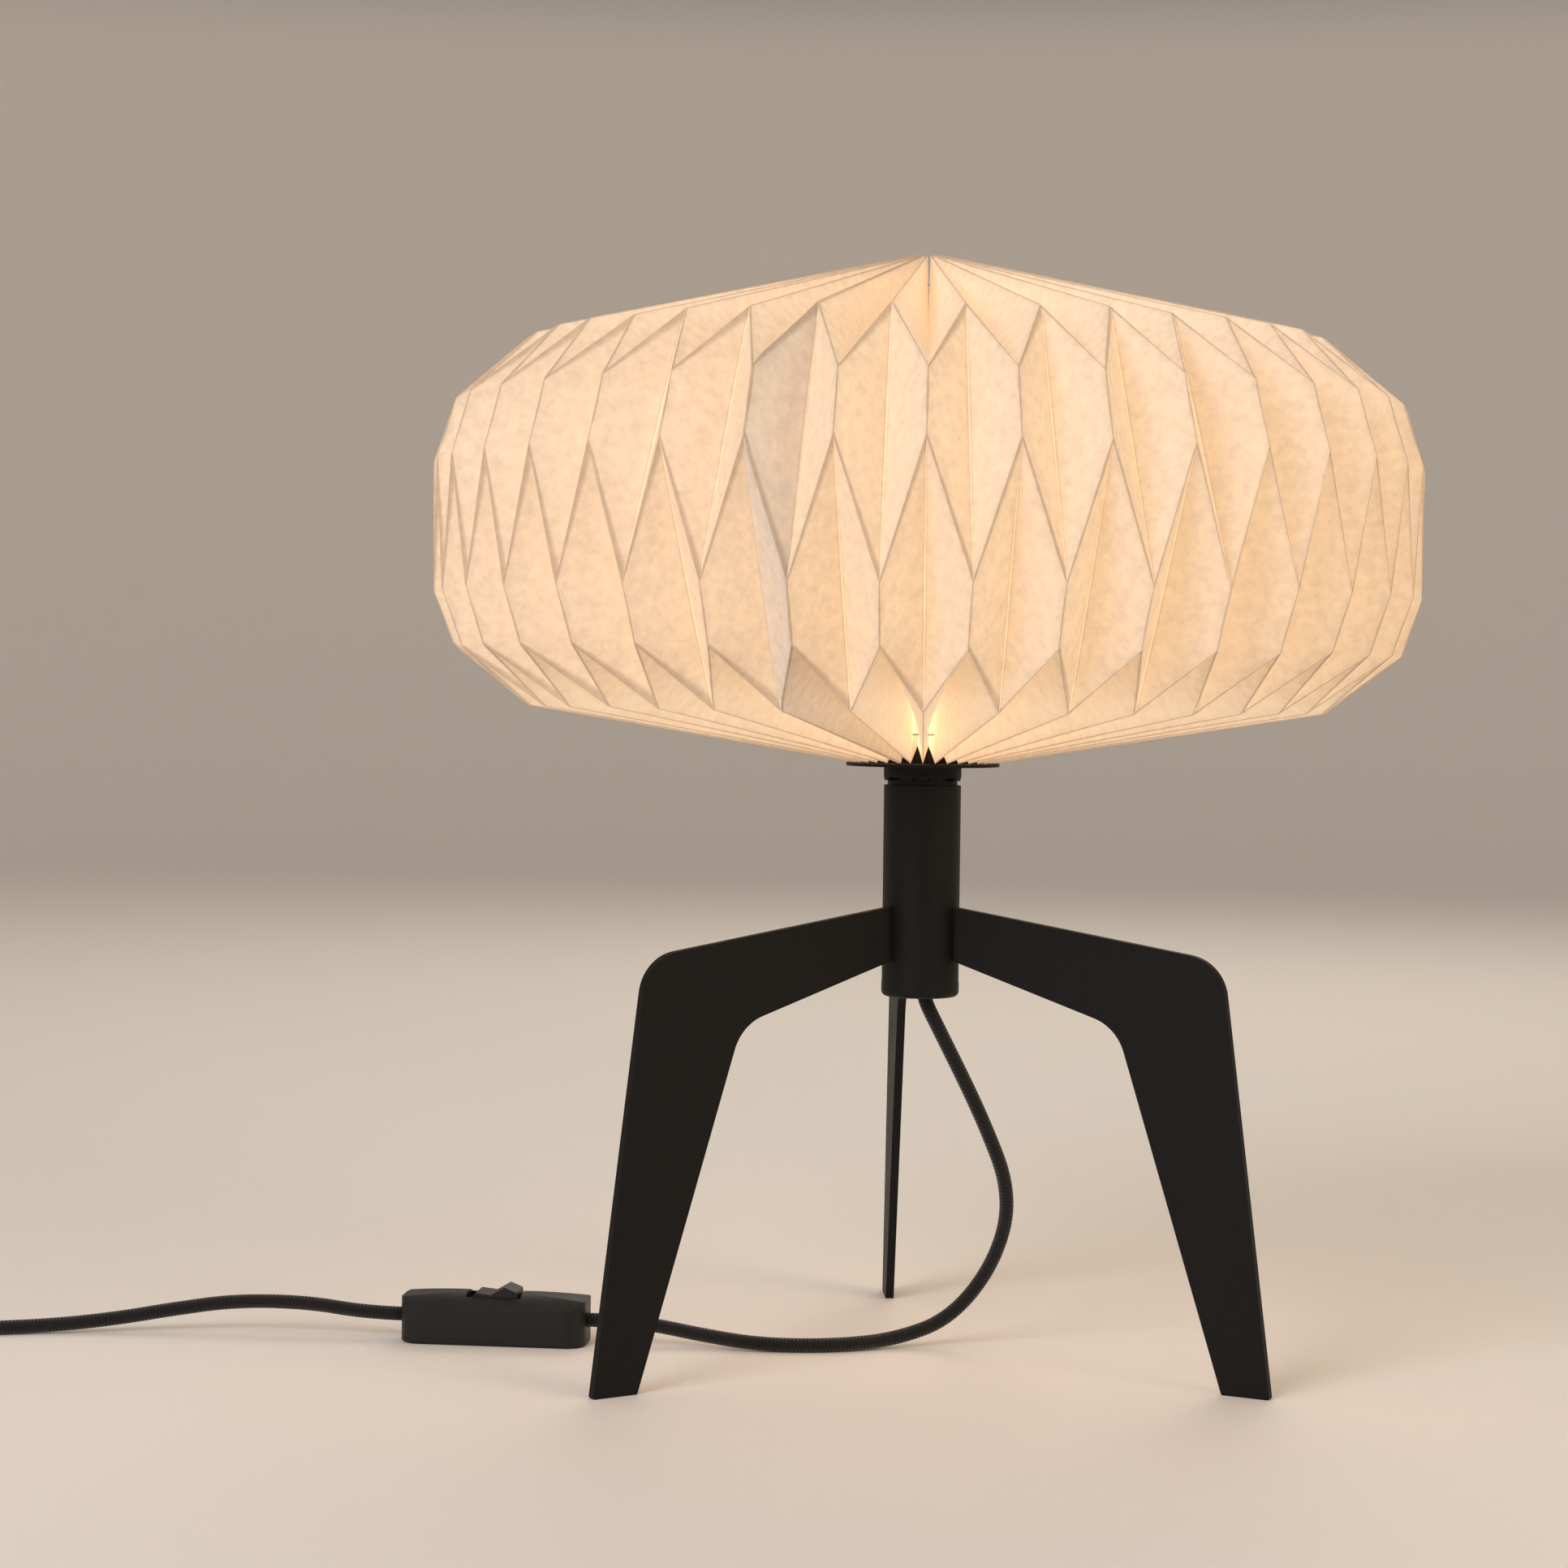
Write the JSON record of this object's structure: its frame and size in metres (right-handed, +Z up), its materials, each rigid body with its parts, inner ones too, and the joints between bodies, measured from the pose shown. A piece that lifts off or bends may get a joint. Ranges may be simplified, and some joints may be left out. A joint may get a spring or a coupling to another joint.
{
  "type": "table lamp",
  "caption": "Table lamp with a folded paper shade on a steel stem with three plate legs, screw bulb, braided cord, rocker switch and two-pin plug.",
  "frame": {"origin": "on the floor under the stem's axis", "axes": "+Z up along the stem; +X right and +Y away from the viewer, with the switch and cord on the -X side"},
  "size_m": [0.8769, 0.445, 0.5015],
  "materials": {
    "black_coat": "matt black powder coat",
    "zinc_steel": "zinc plated",
    "brass": "plain",
    "nickel": "nickel plated",
    "black_plastic": "satin black",
    "white_plastic": "white",
    "opal": "opal diffuser",
    "paper": "fibrous cream paper",
    "braid": "black textile braid"
  },
  "bodies": {
    "base": {"collar": "black_coat", "collar_nut": "zinc_steel", "cord_bush": "black_plastic", "inner_lead": "braid", "lamp_cord": "braid", "lampholder_base": "black_plastic", "lampholder_centre_contact": "brass", "lampholder_insert": "white_plastic", "lampholder_screw_shell": "brass", "lampholder_skirt": "black_plastic", "lampholder_terminal_screws": "brass", "leg_back": "black_coat", "leg_clamp_lower": "zinc_steel", "leg_clamp_upper": "zinc_steel", "leg_left": "black_coat", "leg_nut": "zinc_steel", "leg_right": "black_coat", "leg_washer": "zinc_steel", "mains_coil": "braid", "mains_cord": "braid", "plug_body": "black_plastic", "plug_lead": "braid", "plug_pins": "nickel", "plug_strain_relief": "black_plastic", "shade_disc": "black_coat", "stem_foot_cap": "black_coat", "stem_tube": "black_coat", "switch_base": "black_plastic", "switch_case_screws": "zinc_steel", "switch_cord_clamps": "black_plastic", "switch_cord_ends": "braid", "switch_cover": "black_plastic", "switch_pivot_pin": "zinc_steel", "switch_terminal_screws": "brass", "switch_terminals": "brass", "threaded_rod": "zinc_steel"},
    "shade": {"paper_sheet_right": "paper", "paper_sheet_left": "paper", "bottom_tie_ring": "zinc_steel", "top_tie_ring": "zinc_steel"},
    "bulb": {"bulb_globe": "opal", "bulb_housing": "white_plastic", "bulb_insulator": "black_plastic", "bulb_led_board": "white_plastic", "bulb_screw_cap": "nickel", "bulb_tip_contact": "brass"},
    "rocker": {"switch_rocker": "black_plastic"}
  },
  "joints": [
    {"name": "shade_lift", "type": "slide", "parent": "base", "child": "shade", "axis": [0, 0, 1], "range_m": [0, 0.11]},
    {"name": "bulb_turn", "type": "hinge", "parent": "base", "child": "bulb", "pos_m": [0, 0, 0.272], "axis": [0, 0, 1], "range_deg": [0, 1260]},
    {"name": "rocker_tilt", "type": "hinge", "parent": "base", "child": "rocker", "pos_m": [-0.1943, 0.031, 0.0177], "axis": [0.1132, 0.9936, 0], "range_deg": [0, 24]}
  ]
}
